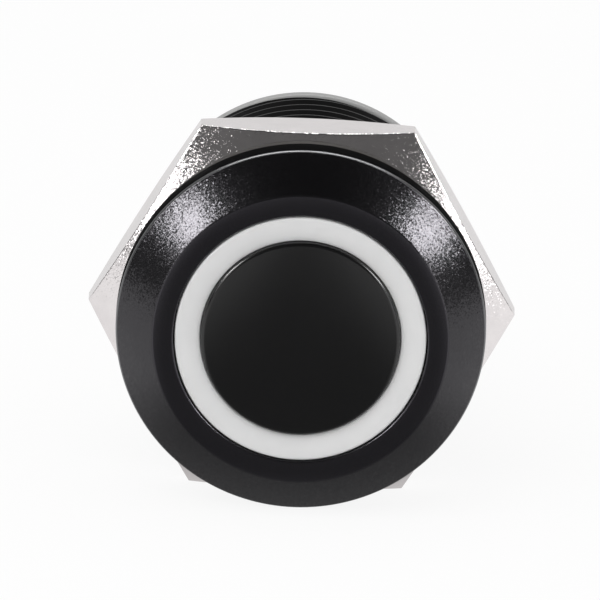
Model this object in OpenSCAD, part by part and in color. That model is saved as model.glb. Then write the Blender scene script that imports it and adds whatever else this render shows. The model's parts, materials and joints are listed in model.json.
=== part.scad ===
// Illuminated momentary pushbutton switch for a 12 mm panel hole.
// The button faces -Y, the terminals point along +Y, and +Z is up.
// The origin is the centre of the head's rear face, where the panel seal begins.
// Each piece is drawn along its own +Z and then laid over onto +Y.

/* [Head] */
// Diameter of the head
head_d = 14; // [13.4:0.1:16]
// Height of the head's straight side
head_side_h = 1.1; // [0.8:0.1:2]
// Depth of the wide chamfer round the head
head_chamfer_h = 1.35; // [1.05:0.05:1.6]
// Width of the flat round the head's opening
face_w = 0.8; // [0.5:0.05:1.3]
// Small chamfer on the head's rear edge
head_edge = 0.12; // [0.05:0.01:0.3]
// Opening in the head that the luminous ring moves in
lip_d = 9.6; // [9.4:0.05:9.65]
// Depth of the lip that keeps the plunger in
lip_t = 1.65; // [1.45:0.05:1.85]
// Small chamfer on the lip's front edge
lip_edge = 0.1; // [0.04:0.01:0.2]

/* [Barrel] */
// Major diameter of the threaded barrel
barrel_d = 12; // [11.8:0.05:12.6]
// Length of the barrel behind the head
barrel_len = 10.9; // [10.5:0.1:14]
// Bore of the barrel
bore_d = 10; // [9.9:0.05:10.4]
// Pitch of the thread, drawn as level grooves
thread_pitch = 0.75; // [0.6:0.05:1]
// Depth of the thread
thread_depth = 0.4; // [0.2:0.05:0.5]
// Chamfer on the barrel's rear edge
barrel_chamfer = 0.25; // [0.1:0.05:0.5]

/* [Panel seal and nut] */
// Thickness of the panel seal
gasket_t = 1.3; // [0.8:0.1:2.5]
// Width of the panel seal's ring
gasket_w = 0.75; // [0.5:0.05:0.9]
// Chamfer on the panel seal's outer edges
gasket_edge = 0.15; // [0.05:0.05:0.3]
// How much wider the nut is across its flats than the head
nut_extra = 0; // [0:0.1:3]
// Thickness of the nut
nut_t = 2.5; // [1.8:0.1:3.5]
// How far the chamfer circle lies inside the flats
nut_chamfer_inset = 0.45; // [0.1:0.05:0.5]
// Slope of the nut's corner chamfers
nut_chamfer_angle = 30; // [20:1:35]
// Chamfer at each mouth of the nut's thread
nut_mouth = 0.15; // [0.1:0.05:0.3]

/* [Light ring and cap] */
// Full travel of the button
travel = 1.5; // [1:0.1:1.6]
// Width of the luminous ring
ring_w = 0.95; // [0.7:0.05:1.2]
// Height of the luminous ring above the head
ring_proud = 0; // [0:0.05:0.3]
// Rounding of the luminous ring's outer edge
ring_round = 0.12; // [0.04:0.02:0.3]
// How far the ring's front is dished towards the cap
ring_dish = 0.2; // [0:0.05:0.4]
// Depth of the pocket that the cap sits in
pocket_h = 1.2; // [0.8:0.1:1.4]
// Thickness of the web under the cap
web_t = 1; // [0.6:0.1:1.2]
// Gap between the guide skirt and the lamps when pressed
skirt_gap = 0.3; // [0.1:0.05:0.6]
// Thickness of the guide skirt's wall
skirt_t = 1.3; // [1.2:0.05:1.4]
// Height of the cap above the luminous ring's rim
cap_proud = 0; // [0:0.05:0.6]
// Chamfer round the cap's front edge
cap_edge = 0.15; // [0.05:0.05:0.3]
// Diameter of the cap's stem
stem_d = 1.5; // [1.2:0.1:1.7]
// Length of the cap's stem
stem_len = 2; // [1.6:0.1:2.6]

/* [Plunger seal] */
// Section diameter of the plunger's seal ring
seal_section = 0.54; // [0.4:0.02:0.56]
// Width of the groove for the seal ring
seal_groove_w = 0.8; // [0.7:0.05:1]
// Distance from the shoulder to the groove
seal_groove_offset = 0.6; // [0.4:0.1:1]

/* [Pusher and spring] */
// Diameter of the pusher's shaft
shaft_d = 2.8; // [2.4:0.1:3]
// Diameter of the pusher's flange
pusher_flange_d = 6.8; // [5.5:0.1:7]
// Thickness of the pusher's flange
pusher_flange_t = 0.8; // [0.5:0.1:1]
// Diameter of the stub that carries the contact bridge
stub_d = 1.2; // [1:0.1:1.4]
// Diameter of the staked head behind the bridge
stake_d = 1.7; // [1.5:0.1:2]
// Height of the staked head
stake_t = 0.25; // [0.15:0.05:0.4]
// Wire diameter of the return spring
wire_d = 0.3; // [0.2:0.02:0.34]
// Turns of the return spring
spring_turns = 6; // [4:1:6]
// Gap between the pusher's shaft and the spring
spring_gap = 0.3; // [0.2:0.05:0.4]

/* [Contacts] */
// Distance of every terminal from the axis
terminal_r = 2.5; // [2.2:0.1:2.7]
// Diameter of the contact tips
tip_d = 1.3; // [1:0.1:1.4]
// Thickness of the contact tips
tip_t = 0.2; // [0.1:0.05:0.3]
// Width of the contact bridge
bridge_w = 1.5; // [1.4:0.1:1.7]
// Thickness of the contact bridge
bridge_t = 0.3; // [0.2:0.05:0.4]
// Gap between the guide plate and the bridge at rest
bridge_gap = 0.4; // [0.2:0.05:0.5]

/* [Terminals] */
// Diameter of the terminal pins
pin_d = 0.9; // [0.7:0.05:1]
// Diameter of the pins where the block holds them
shank_d = 1.3; // [1.1:0.05:1.35]
// Free length of the terminal pins
pin_len = 4.5; // [3:0.1:7]
// Chamfer at the tip of each pin
pin_tip = 0.12; // [0.05:0.01:0.2]
// Diameter of the terminals' heads
pin_head_d = 1.7; // [1.4:0.1:1.8]
// Thickness of the terminals' heads
pin_head_t = 0.7; // [0.4:0.1:0.9]

/* [Lamp board] */
// Thickness of the lamp board
board_t = 0.8; // [0.6:0.1:1]
// Length of a lamp
led_len = 1.6; // [1.2:0.1:1.8]
// Width of a lamp
led_w = 0.8; // [0.6:0.1:0.9]
// Height of a lamp's base
led_base_h = 0.25; // [0.2:0.05:0.3]
// Height of a lamp's lens
led_lens_h = 0.35; // [0.2:0.05:0.35]
// Length of a lamp's lens
led_lens_len = 1; // [0.8:0.1:1.1]
// Distance of the lamps from the axis
led_r = 4.1; // [4:0.05:4.15]
// Length of the series resistor
resistor_len = 1; // [0.8:0.1:1.2]
// Width of the series resistor
resistor_w = 0.5; // [0.4:0.1:0.7]
// Height of the series resistor
resistor_h = 0.35; // [0.25:0.05:0.45]
// Distance of the series resistor from the axis
resistor_r = 3.6; // [3.4:0.05:3.8]
// Diameter of the lamp leads
lead_d = 0.4; // [0.3:0.05:0.5]
// Distance of the lamp leads from the axis
lead_r = 3; // [2.9:0.05:3.1]
// Height of the solder joint on each lead
solder_h = 0.3; // [0.2:0.05:0.4]
// Diameter of the solder joint at the board
solder_d = 0.8; // [0.6:0.1:1]

/* [Contact block] */
// Length of the block inside the barrel
block_seat = 4.5; // [4.4:0.1:4.7]
// Diameter of the block's flange
flange_d = 11.9; // [11:0.1:11.9]
// Thickness of the block's flange
flange_t = 0.5; // [0.3:0.1:0.8]
// Diameter of the block behind the flange
rear_d = 9.4; // [8.6:0.1:9.8]
// Length of the block behind the flange
rear_len = 3.1; // [2:0.1:5]
// Chamfer on the block's rear edge
rear_edge = 0.3; // [0.1:0.05:0.5]
// Wall round the contact chamber
chamber_wall = 1.17; // [1.1:0.01:1.3]
// Step that the guide plate sits on
plate_step = 0.3; // [0.2:0.05:0.4]
// Thickness of the guide plate
plate_t = 0.8; // [0.7:0.05:1]
// Diameter of the guide sleeve
sleeve_d = 4.6; // [4.5:0.05:4.8]
// Height of the guide sleeve above the board
sleeve_proud = 0.6; // [0.3:0.1:0.7]
// Depth of the sealing compound
compound_t = 0.9; // [0.5:0.1:1.5]
// Wall round the sealing compound
compound_wall = 0.8; // [0.6:0.1:1.1]

/* [Clearances] */
// Radial clearance of the moving pieces
running_gap = 0.05; // [0.03:0.01:0.08]
// Radial clearance of the pieces that are fixed together
fixed_gap = 0.02; // [0.01:0.01:0.04]

/* [Hidden] */

// Sides of every true circle, and steps in a rounded edge
round_fn = 96;
edge_steps = 6;
// Sides of the seal ring's section
seal_sides = 24;
// Sides of the spring's wire and rings in each of its turns
wire_sides = 8;
turn_steps = 20;
// How much closer the spring's end turns lie than the middle ones
end_squeeze = 0.5;
// How far a cutting shape runs past the face that it cuts
cut = 0.1;

// Head and lip
face_z = -head_side_h - head_chamfer_h;
shoulder_z = face_z + lip_t;
bore_r = bore_d / 2;
lip_r = lip_d / 2;
face_r = lip_r + face_w;

// Thread: the shares of its pitch where a groove's foot starts and ends, and where its crest begins
foot_start = 0.3125;
foot_end = 0.5625;
crest_start = 0.875;
crest_r = barrel_d / 2;
thread_end_z = barrel_len - barrel_chamfer;
thread_turns = floor((thread_end_z - gasket_t / 2) / thread_pitch);
thread_start_z = thread_end_z - thread_turns * thread_pitch;

// Contact block and the pieces stacked on it
block_r = bore_r - fixed_gap;
block_front_z = barrel_len - block_seat;
board_z = block_front_z - board_t;
sleeve_end_z = board_z - sleeve_proud;
plate_end_z = block_front_z + plate_t;
chamber_r = block_r - chamber_wall;
plate_r = chamber_r + plate_step - fixed_gap;
block_rear_z = barrel_len + flange_t + rear_len;
compound_r = rear_d / 2 - compound_wall;
compound_z = block_rear_z - compound_t;
hole_r = shank_d / 2 + fixed_gap;
lead_hole_r = lead_d / 2 + fixed_gap;

// Plunger
ring_r = lip_r - running_gap;
skirt_r = bore_r - running_gap;
ring_front_z = face_z - ring_proud;
pocket_r = ring_r - ring_w;
pocket_z = ring_front_z + pocket_h;
web_end_z = pocket_z + web_t;
skirt_end_z = board_z - led_base_h - led_lens_h - travel - skirt_gap;
skirt_inner_r = skirt_r - skirt_t;
cap_r = pocket_r - fixed_gap;
cap_front_z = ring_front_z - cap_proud;
stem_end_z = pocket_z + stem_len;
stem_hole_r = stem_d / 2 + fixed_gap;
groove_z = shoulder_z + seal_groove_offset;
groove_r = skirt_r - seal_section;

// Contacts, which meet at the end of the travel
bridge_z = plate_end_z + bridge_gap;
moving_tip_z = bridge_z + bridge_t;
fixed_tip_z = moving_tip_z + tip_t + travel;
pin_head_z = fixed_tip_z + tip_t;
chamber_end_z = pin_head_z + pin_head_t;

// Return spring
spring_r = shaft_d / 2 + spring_gap + wire_d / 2;
spring_start_z = web_end_z + pusher_flange_t + fixed_gap + wire_d / 2;
spring_end_z = sleeve_end_z - fixed_gap - wire_d / 2;

// Turns a piece that was drawn along +Z onto +Y
module along_y() {
    rotate([-90, 0, 0]) children();
}

// A turned piece, from its outline as pairs of radius and place along the axis
module turned(outline) {
    rotate_extrude($fn = round_fn) polygon(outline);
}

// A round bar or hole between two places along the axis
module bar(r, start, end) {
    translate([0, 0, start]) cylinder(r = r, h = end - start, $fn = round_fn);
}

// Points of a rounded edge that runs from one angle to another
function rounded(r, centre_r, centre_z, from, to) = [
    for (i = [0:edge_steps])
        let (a = from + (to - from) * i / edge_steps)
            [centre_r + r * cos(a), centre_z + r * sin(a)]
];

// One groove of the thread, from the crest before it to the crest after it
function groove(start) = [
    [crest_r, start],
    [crest_r - thread_depth, start + foot_start * thread_pitch],
    [crest_r - thread_depth, start + foot_end * thread_pitch],
    [crest_r, start + crest_start * thread_pitch],
];

// One-piece head and barrel, with the lip that keeps the plunger in
module bezel_shell() {
    color("#1c1c1e") along_y() turned(concat(
        [
            [lip_r + lip_edge, face_z],
            [face_r, face_z],
            [head_d / 2, -head_side_h],
            [head_d / 2, -head_edge],
            [head_d / 2 - head_edge, 0],
            [crest_r, 0],
        ],
        [for (turn = [0:thread_turns - 1]) each groove(thread_start_z + turn * thread_pitch)],
        [
            [crest_r, thread_end_z],
            [crest_r - barrel_chamfer, barrel_len],
            [bore_r, barrel_len],
            [bore_r, shoulder_z],
            [lip_r, shoulder_z],
            [lip_r, face_z + lip_edge],
        ]
    ));
}

// Flat rubber ring between the head and the panel
module panel_gasket() {
    inner_r = barrel_d / 2 + running_gap;
    outer_r = inner_r + gasket_w;
    color("#2a2624") along_y() turned([
        [inner_r, 0],
        [outer_r - gasket_edge, 0],
        [outer_r, gasket_edge],
        [outer_r, gasket_t - gasket_edge],
        [outer_r - gasket_edge, gasket_t],
        [inner_r, gasket_t],
    ]);
}

// Outline of the turned blank that chamfers the nut's corners on both faces
function nut_blank(corner_r, chamfer_r, drop) = [
    [0, 0],
    [chamfer_r, 0],
    [corner_r, drop],
    [corner_r, nut_t - drop],
    [chamfer_r, nut_t],
    [0, nut_t],
];

// Hexagon nut that clamps the panel
module hex_nut() {
    flat_r = (head_d + nut_extra) / 2;
    corner_r = flat_r / cos(30);
    chamfer_r = flat_r - nut_chamfer_inset;
    drop = (corner_r - chamfer_r) * tan(nut_chamfer_angle);
    thread_r = barrel_d / 2 + running_gap;
    color("#cfcac6") along_y() translate([0, 0, gasket_t]) difference() {
        intersection() {
            cylinder(r = corner_r, h = nut_t, $fn = 6);
            turned(nut_blank(corner_r + cut, chamfer_r, drop + cut * tan(nut_chamfer_angle)));
        }
        bar(thread_r, -cut, nut_t + cut);
        turned([[0, -cut], [thread_r + nut_mouth + cut, -cut], [thread_r, nut_mouth], [0, nut_mouth]]);
        turned([
            [0, nut_t + cut],
            [thread_r + nut_mouth + cut, nut_t + cut],
            [thread_r, nut_t - nut_mouth],
            [0, nut_t - nut_mouth],
        ]);
    }
}

// Translucent moulding: luminous ring, web under the cap, and guide skirt
module light_ring() {
    color("#e2e2e0") along_y() turned(concat(
        [
            [stem_hole_r, pocket_z],
            [pocket_r, pocket_z],
            [pocket_r, ring_front_z + ring_dish],
        ],
        rounded(ring_round, ring_r - ring_round, ring_front_z + ring_round, -90, 0),
        [
            [ring_r, shoulder_z],
            [skirt_r, shoulder_z],
            [skirt_r, groove_z],
            [groove_r, groove_z],
            [groove_r, groove_z + seal_groove_w],
            [skirt_r, groove_z + seal_groove_w],
            [skirt_r, skirt_end_z],
            [skirt_inner_r, skirt_end_z],
            [skirt_inner_r, web_end_z],
            [stem_hole_r, web_end_z],
        ]
    ));
}

// Opaque cap inside the luminous ring, with its stem
module button_cap() {
    color("#1d1d1f") along_y() turned([
        [0, cap_front_z],
        [cap_r - cap_edge, cap_front_z],
        [cap_r, cap_front_z + cap_edge],
        [cap_r, pocket_z],
        [stem_d / 2, pocket_z],
        [stem_d / 2, stem_end_z],
        [0, stem_end_z],
    ]);
}

// Seal ring in the plunger's groove
module plunger_seal() {
    section_r = seal_section / 2 - fixed_gap;
    color("#141414") along_y() rotate_extrude($fn = round_fn)
        translate([groove_r + fixed_gap + section_r, groove_z + seal_groove_w / 2])
            circle(r = section_r, $fn = seal_sides);
}

// Pusher on the cap's stem, which carries the contact bridge
module pusher() {
    flange_r = pusher_flange_d / 2;
    flange_end_z = web_end_z + pusher_flange_t;
    socket_end_z = stem_end_z + running_gap;
    stake_z = bridge_z + bridge_t;
    color("#f0ede4") along_y() turned([
        [stem_hole_r, web_end_z],
        [flange_r, web_end_z],
        [flange_r, flange_end_z],
        [shaft_d / 2, flange_end_z],
        [shaft_d / 2, bridge_z],
        [stub_d / 2, bridge_z],
        [stub_d / 2, stake_z],
        [stake_d / 2, stake_z],
        [stake_d / 2, stake_z + stake_t],
        [0, stake_z + stake_t],
        [0, socket_end_z],
        [stem_hole_r, socket_end_z],
    ]);
}

// Share of the spring's length reached at a share of its turns
function spring_rise(t) = t - end_squeeze * sin(360 * t) / 360 * 180 / PI;

// Centre of the spring's wire at a share of its turns
function spring_point(t) = [
    spring_r * cos(360 * spring_turns * t),
    spring_r * sin(360 * spring_turns * t),
    spring_start_z + (spring_end_z - spring_start_z) * spring_rise(t),
];

// One ring of points round the spring's wire
function wire_ring(t) = [
    for (k = [0:wire_sides - 1])
        let (
            turn = 360 * spring_turns * t,
            out = wire_d / 2 * cos(360 * k / wire_sides),
            up = wire_d / 2 * sin(360 * k / wire_sides)
        )
        spring_point(t) + [out * cos(turn), out * sin(turn), up]
];

// Helical return spring round the pusher's shaft
module return_spring() {
    rings = spring_turns * turn_steps;
    points = [for (i = [0:rings]) each wire_ring(i / rings)];
    sides = [
        for (i = [0:rings - 1], k = [0:wire_sides - 1])
            let (a = i * wire_sides, n = (k + 1) % wire_sides)
                [a + k, a + wire_sides + k, a + wire_sides + n, a + n]
    ];
    first = [for (k = [0:wire_sides - 1]) k];
    last = [for (k = [wire_sides - 1:-1:0]) rings * wire_sides + k];
    color("#b9bcc0") along_y() polyhedron(points = points, faces = concat([first], sides, [last]));
}

// Sprung copper strip that joins the two switch terminals when pressed
module contact_bridge() {
    color("#c8864a") along_y() translate([0, 0, bridge_z]) linear_extrude(bridge_t) difference() {
        union() {
            square([2 * terminal_r, bridge_w], center = true);
            for (side = [-1, 1]) translate([side * terminal_r, 0]) circle(d = bridge_w, $fn = round_fn);
        }
        circle(r = stub_d / 2 + fixed_gap, $fn = round_fn);
    }
}

// Silver contact tip on the left (-1) or right (1), from its front face rearwards
module contact_tip(side, start) {
    color("#dcdcdc") along_y() translate([side * terminal_r, 0, 0]) bar(tip_d / 2, start, start + tip_t);
}

// Terminal pin with its head, at an angle round the axis
module terminal(angle) {
    end = block_rear_z + pin_len;
    color("#d9b45c") along_y() rotate([0, 0, angle]) translate([terminal_r, 0, 0]) turned([
        [0, pin_head_z],
        [pin_head_d / 2, pin_head_z],
        [pin_head_d / 2, chamber_end_z],
        [shank_d / 2, chamber_end_z],
        [shank_d / 2, block_rear_z],
        [pin_d / 2, block_rear_z],
        [pin_d / 2, end - pin_tip],
        [pin_d / 2 - pin_tip, end],
        [0, end],
    ]);
}

// Wire from a lamp terminal up to its solder joint on the lamp board
module lamp_lead(angle) {
    color("#c9ccd0") along_y() rotate([0, 0, angle]) translate([lead_r, 0, 0]) turned([
        [0, board_z - solder_h],
        [lead_d / 2, board_z - solder_h],
        [solder_d / 2, board_z],
        [lead_d / 2, board_z],
        [lead_d / 2, pin_head_z],
        [0, pin_head_z],
    ]);
}

// Holes for the lamp leads
module lead_holes(start, end) {
    for (angle = [90, 270]) rotate([0, 0, angle]) translate([lead_r, 0, 0]) bar(lead_hole_r, start, end);
}

// Round board behind the plunger, open in the middle for the guide sleeve
module led_board() {
    color("#2f6b45") along_y() difference() {
        bar(bore_r - 2 * running_gap, board_z, block_front_z);
        bar(sleeve_d / 2 + fixed_gap, board_z - cut, block_front_z + cut);
        lead_holes(board_z - cut, block_front_z + cut);
    }
}

// Lamp on the board, at an angle round the axis
module led(angle) {
    color("#f2e27a") along_y() rotate([0, 0, angle]) translate([led_r, 0, board_z]) {
        translate([-led_w / 2, -led_len / 2, -led_base_h]) cube([led_w, led_len, led_base_h]);
        translate([-led_w / 2, -led_lens_len / 2, -led_base_h - led_lens_h])
            cube([led_w, led_lens_len, led_base_h + led_lens_h]);
    }
}

// Series resistor of the lamps
module lamp_resistor() {
    color("#26282c") along_y() translate([resistor_r, 0, board_z - resistor_h / 2])
        cube([resistor_w, resistor_len, resistor_h], center = true);
}

// Plate that closes the contact chamber, with the sleeve that guides the pusher
module guide_plate() {
    color("#8e9092") along_y() difference() {
        union() {
            bar(plate_r, block_front_z, plate_end_z);
            bar(sleeve_d / 2, sleeve_end_z, plate_end_z);
        }
        bar(shaft_d / 2 + running_gap, sleeve_end_z - cut, plate_end_z + cut);
        lead_holes(block_front_z - cut, plate_end_z + cut);
    }
}

// Insulating block in the barrel, with the contact chamber and the pins' holes
module contact_block() {
    color("#8e9092") along_y() difference() {
        turned([
            [0, block_front_z],
            [block_r, block_front_z],
            [block_r, barrel_len],
            [flange_d / 2, barrel_len],
            [flange_d / 2, barrel_len + flange_t],
            [rear_d / 2, barrel_len + flange_t],
            [rear_d / 2, block_rear_z - rear_edge],
            [rear_d / 2 - rear_edge, block_rear_z],
            [0, block_rear_z],
        ]);
        bar(chamber_r + plate_step, block_front_z - cut, plate_end_z);
        bar(chamber_r, plate_end_z - cut, chamber_end_z);
        bar(compound_r, compound_z, block_rear_z + cut);
        pin_holes(chamber_end_z - cut, compound_z + cut);
    }
}

// Holes for the four terminal pins
module pin_holes(start, end) {
    for (angle = [0:90:270]) rotate([0, 0, angle]) translate([terminal_r, 0, 0]) bar(hole_r, start, end);
}

// Potting that seals the pins at the rear
module sealing_compound() {
    color("#17181a") along_y() difference() {
        bar(compound_r, compound_z, block_rear_z);
        pin_holes(compound_z - cut, block_rear_z + cut);
    }
}

bezel_shell();
panel_gasket();
hex_nut();
light_ring();
button_cap();
plunger_seal();
pusher();
return_spring();
contact_bridge();
contact_tip(-1, moving_tip_z);  // moving_contact_1
contact_tip(1, moving_tip_z);  // moving_contact_2
contact_tip(-1, fixed_tip_z);  // fixed_contact_1
contact_tip(1, fixed_tip_z);  // fixed_contact_2
terminal(180);  // switch_terminal_1
terminal(0);  // switch_terminal_2
terminal(270);  // lamp_terminal_plus
terminal(90);  // lamp_terminal_minus
lamp_lead(270);  // lamp_lead_plus
lamp_lead(90);  // lamp_lead_minus
led_board();
led(45);  // led_1
led(135);  // led_2
led(225);  // led_3
led(315);  // led_4
lamp_resistor();
guide_plate();
contact_block();
sealing_compound();
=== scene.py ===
"""Finished surfaces of an illuminated panel pushbutton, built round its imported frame."""

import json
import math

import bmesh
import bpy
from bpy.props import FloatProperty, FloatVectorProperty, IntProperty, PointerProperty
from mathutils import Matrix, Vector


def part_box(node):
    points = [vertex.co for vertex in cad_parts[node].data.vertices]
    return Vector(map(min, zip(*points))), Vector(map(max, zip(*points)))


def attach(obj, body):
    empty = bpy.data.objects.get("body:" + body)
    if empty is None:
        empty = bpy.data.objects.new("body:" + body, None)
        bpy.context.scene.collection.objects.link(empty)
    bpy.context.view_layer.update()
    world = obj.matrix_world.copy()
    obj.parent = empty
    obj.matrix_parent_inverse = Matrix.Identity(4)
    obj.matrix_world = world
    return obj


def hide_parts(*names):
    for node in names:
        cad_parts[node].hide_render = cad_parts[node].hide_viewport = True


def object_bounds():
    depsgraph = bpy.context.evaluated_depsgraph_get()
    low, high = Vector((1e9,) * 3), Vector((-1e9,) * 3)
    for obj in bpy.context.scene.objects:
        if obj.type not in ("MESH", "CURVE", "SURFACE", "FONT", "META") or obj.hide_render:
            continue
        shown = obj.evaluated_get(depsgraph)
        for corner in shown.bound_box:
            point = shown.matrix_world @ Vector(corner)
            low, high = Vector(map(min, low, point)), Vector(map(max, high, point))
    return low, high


bl_info = {
    "name": "Illuminated pushbutton",
    "version": (1, 0, 0),
    "blender": (4, 5, 0),
    "location": "View3D > Sidebar > Pushbutton",
    "description": "Head, thread, nut, luminous ring, cap, rear block and pins of a panel pushbutton",
    "category": "Add Mesh",
}

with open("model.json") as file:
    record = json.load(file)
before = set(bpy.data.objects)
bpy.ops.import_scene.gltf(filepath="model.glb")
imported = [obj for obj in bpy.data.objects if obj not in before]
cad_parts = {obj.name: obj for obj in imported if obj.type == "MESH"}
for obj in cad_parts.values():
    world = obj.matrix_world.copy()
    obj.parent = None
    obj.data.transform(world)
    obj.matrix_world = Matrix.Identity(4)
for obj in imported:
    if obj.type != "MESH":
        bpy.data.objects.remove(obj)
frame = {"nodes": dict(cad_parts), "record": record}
CAD_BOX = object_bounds()

# Shapes are drawn in millimetres along the Y axis, and become metres when they are placed
MM = 0.001
Y_AXIS = (0.0, 1.0, 0.0)
ORIGIN = (0.0, 0.0, 0.0)
# In millimetres: how near a point is to a circle or to the next turn of the thread when it counts
# as on it, and how near the points of a turned or cut mesh are when they become one
NEAR = 0.002
WELD = NEAR / 10
# Edges sharper than this stay sharp in the shading
SHARP = math.radians(25)
# The nut's narrow roundings are shaded flat, so that its wide faces keep their own shading
NUT_SHARP = math.radians(15)
# Segments of a rounded edge on turned pieces and on the nut, and faces round a pin
TURNED_SEGMENTS, NUT_SEGMENTS, PIN_STEPS = 4, 2, 48

# Gaps in millimetres: round the thread's crests, between the ring and its opening, round the cap's
# stem, between the block and the bore, and between the resin and its pocket
THREAD_GAP, RING_GAP, STEM_GAP, BLOCK_GAP, RESIN_GAP = 0.05, 0.05, 0.02, 0.02, 0.01
# How far the thread's sleeve keeps off the head and the barrel's end, and how far it sinks into the
# barrel, in millimetres, so that no two faces coincide
THREAD_START, THREAD_STOP, THREAD_SINK = 0.02, 0.01, 0.1
# Shares of the pitch where the thread's rising flank begins, and where its crest begins and ends
FLANK_START, CREST_START, CREST_END = 0.25, 0.5625, 0.6875
# Angle of the nut's chamfer, and how far its blank reaches past the corners, in millimetres
NUT_CHAMFER, BLANK_MARGIN = math.radians(30), 0.1
# The pins' CAD nodes
TERMINALS = (
    "switch_terminal_1",
    "switch_terminal_2",
    "lamp_terminal_plus",
    "lamp_terminal_minus",
)
# Length of a pin's head in the contact chamber, in millimetres
PIN_HEAD = 0.7
# The resin's edge from the pocket's wall inwards, in millimetres: distance from the wall, drop
# below the CAD node's top, and rounding
MENISCUS = ((0, 0.12, 0), (0.15, 0.24, 0), (0.4, 0.3, 0.1))

# Places of the head's and barrel's finishes in the piece's list, after the chamfer's
RIM_FINISH, SIDE_FINISH, THREAD_FINISH, FACE_FINISH = 1, 2, 3, 4
# Place of the finish of the nut's flats in its list
FLATS_FINISH = 1
# Scales of the slow drift of a finish's roughness and of its colour
ROUGH_DRIFT, TINT_DRIFT = 350, 900

# Lamps that metal mirrors: name, direction from the switch, direction of the width, width and depth
# in metres, and the setting that holds the power
LAMPS = (
    ("softbox_left", (-0.79, -0.26, 0.53), (0, 1, 0), 0.08, 0.08, "softbox_power"),
    ("softbox_right", (0.84, -0.21, 0.5), (0, 1, 0), 0.08, 0.08, "softbox_power"),
    ("front_left", (-0.72, -0.635, 0.275), (-0.6, 0.7, 0), 0.08, 0.09, "front_power"),
    ("front_right", (0.763, -0.618, 0.18), (0.6, 0.7, 0), 0.08, 0.12, "front_power"),
    ("strip_above", (0, 0.5, 0.87), (1, 0, 0), 0.35, 0.06, "strip_power"),
)
# The lamp that only shades, in the same order
FILL = ("fill", (-0.3, -0.5, 0.8), (1, 0, 0), 0.2, 0.2, "fill_power")
# Soft steps of the floor's brightness in reflections, as start and end in metres and low and high:
# sideways and rearwards to the bright part, along the dim part, and along the bright part. The dim
# part is painted shade: it stands in for the switch's shadow on the floor under the head and for a
# darker room before it, and only reflections see it
GLOW_SIDEWAYS, GLOW_REARWARDS = (0.006, 0.016, 0, 1), (0, 0.004, 0, 1)
GLOW_PAINTED_SHADE, GLOW_BRIGHT = (-0.009, -0.0025, 0.18, 0.33), (0, 0.06, 1.0, 0.82)
# The room's brightness in reflections, as start and end of the direction's height and low and high
ROOM_GLOW = (0.75, 0.93, 0.11, 0.015)
# Share of plain white in what the camera sees of the floor
FLOOR_WHITE = 0.9
# Half of the floor's width, the backdrop's height and the bend between them, in metres
FLOOR_HALF, BACKDROP_HEIGHT, BEND_R = 1.8, 1, 0.3
BEND_SEGMENTS = 16
# Gap between the switch's lowest point and the floor, in metres
FLOOR_GAP = 0.00003
# The camera's sensor width in millimetres, and the nearest thing it sees in metres
SENSOR_WIDTH, NEAREST = 36, 0.01


def low_mm(node):
    """Lowest corner of a CAD node, in millimetres."""
    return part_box(node)[0] / MM


def high_mm(node):
    """Highest corner of a CAD node, in millimetres."""
    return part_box(node)[1] / MM


HEAD_LOW, HEAD_HIGH = low_mm("bezel_shell"), high_mm("bezel_shell")
NUT_LOW, NUT_HIGH = low_mm("hex_nut"), high_mm("hex_nut")
RING_LOW, RING_HIGH = low_mm("light_ring"), high_mm("light_ring")
CAP_LOW, CAP_HIGH = low_mm("button_cap"), high_mm("button_cap")
SEAL_LOW, SEAL_HIGH = low_mm("panel_gasket"), high_mm("panel_gasket")
BLOCK_LOW, BLOCK_HIGH = low_mm("contact_block"), high_mm("contact_block")
POTTING_LOW, POTTING_HIGH = low_mm("sealing_compound"), high_mm("sealing_compound")
PIN_LOW = low_mm("switch_terminal_2")


def length(name, description, millimetres):
    """A size that a user may change, shown as a length."""
    return FloatProperty(
        name=name, description=description, default=millimetres * MM, unit="LENGTH"
    )


def colour(name, description, rgb):
    """A finish's colour."""
    return FloatVectorProperty(
        name=name, description=description, default=rgb, size=3, subtype="COLOR"
    )


def lamp_power(name, description, watts):
    """A lamp's power."""
    return FloatProperty(name=name, description=description, default=watts, unit="POWER")


def rotation(name, description, degrees):
    """An angle."""
    return FloatProperty(
        name=name, description=description, default=math.radians(degrees), unit="ROTATION"
    )


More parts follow.
